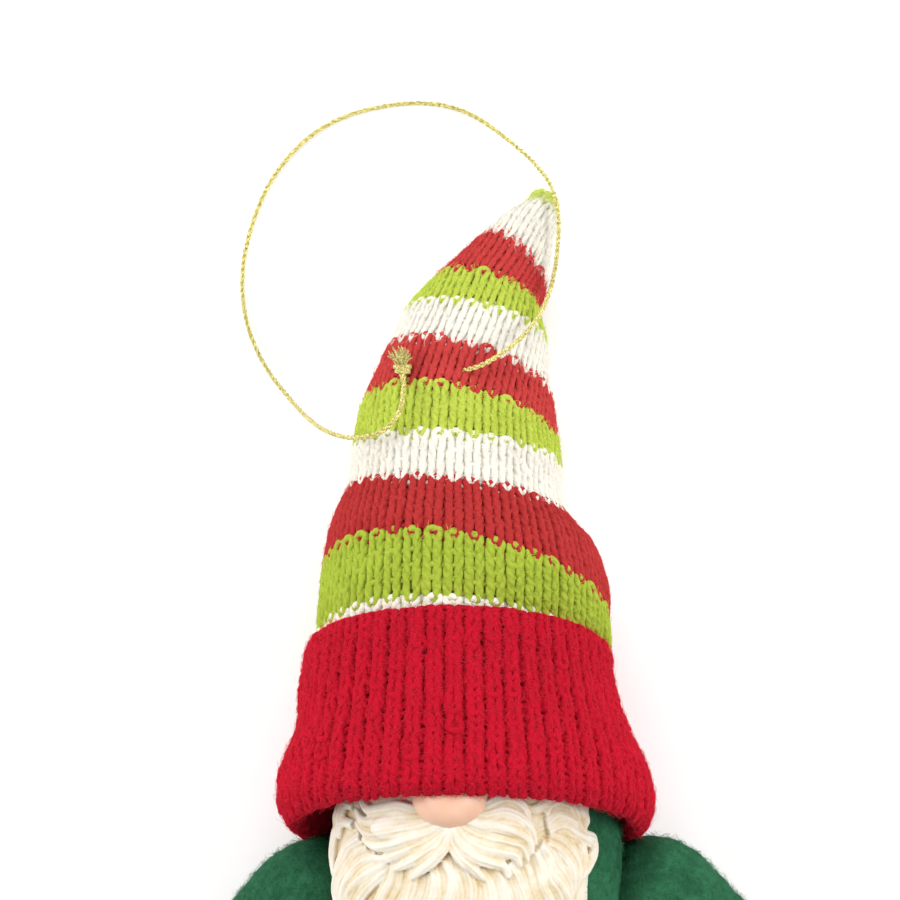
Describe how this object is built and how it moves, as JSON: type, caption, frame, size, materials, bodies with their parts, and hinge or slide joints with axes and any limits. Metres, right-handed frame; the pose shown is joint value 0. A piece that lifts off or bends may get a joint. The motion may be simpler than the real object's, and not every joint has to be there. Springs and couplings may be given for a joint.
{
  "type": "tomte gnome figurine",
  "caption": "Soft gnome ornament on its back: striped knit stocking hat, cast beard, fleece coat, jointed arms and legs, gold hanging loop.",
  "frame": {"origin": "on the surface under the figure's back, at the middle of its width and of its height from boot soles to hat tip", "axes": "+Y from the boots to the tip of the hat, +X to the viewer's right, +Z out of the face, so the figure lies on its back"},
  "size_m": [0.0935, 0.1715, 0.0461],
  "materials": {
    "striped_knit": "cranberry, lime and cream striped jersey knit",
    "crimson_knit": "fuzzy rib knit",
    "fibre_fill": "loose polyester fibre",
    "lime_yarn": "yarn",
    "head_foam": "foam ball",
    "beard_resin": "cast resin, cream with an ochre wash",
    "nose_resin": "smooth satin paint",
    "green_fleece": "brushed fleece",
    "gold_cord": "metallic gold twisted cord",
    "mitten_resin": "satin paint",
    "trouser_cloth": "woven wool",
    "boot_resin": "satin paint"
  },
  "bodies": {
    "torso": {"hat_crown": "striped_knit", "hat_cuff": "crimson_knit", "hat_stuffing": "fibre_fill", "tip_closing_yarn": "lime_yarn", "head_ball": "head_foam", "beard_casting": "beard_resin", "nose_bead": "nose_resin", "coat_body": "green_fleece", "body_stuffing": "fibre_fill", "hanging_cord": "gold_cord", "cord_knot": "gold_cord"},
    "left_arm": {"left_sleeve": "green_fleece", "left_arm_stuffing": "fibre_fill", "left_mitten": "mitten_resin"},
    "left_leg": {"left_trouser_leg": "trouser_cloth", "left_leg_stuffing": "fibre_fill", "left_boot": "boot_resin"},
    "right_arm": {"right_sleeve": "green_fleece", "right_arm_stuffing": "fibre_fill", "right_mitten": "mitten_resin"},
    "right_leg": {"right_trouser_leg": "trouser_cloth", "right_leg_stuffing": "fibre_fill", "right_boot": "boot_resin"}
  },
  "joints": [
    {"name": "left_shoulder", "type": "hinge", "parent": "torso", "child": "left_arm", "pos_m": [-0.024, -0.0232, 0.0162], "axis": [-1, 0, 0], "range_deg": [0, 70]},
    {"name": "left_hip", "type": "hinge", "parent": "torso", "child": "left_leg", "pos_m": [-0.0096, -0.056, 0.0094], "axis": [-1, 0, 0], "range_deg": [0, 45]},
    {"name": "right_shoulder", "type": "hinge", "parent": "torso", "child": "right_arm", "pos_m": [0.024, -0.0232, 0.0162], "axis": [-1, 0, 0], "range_deg": [0, 70]},
    {"name": "right_hip", "type": "hinge", "parent": "torso", "child": "right_leg", "pos_m": [0.0096, -0.056, 0.0094], "axis": [-1, 0, 0], "range_deg": [0, 45]}
  ]
}
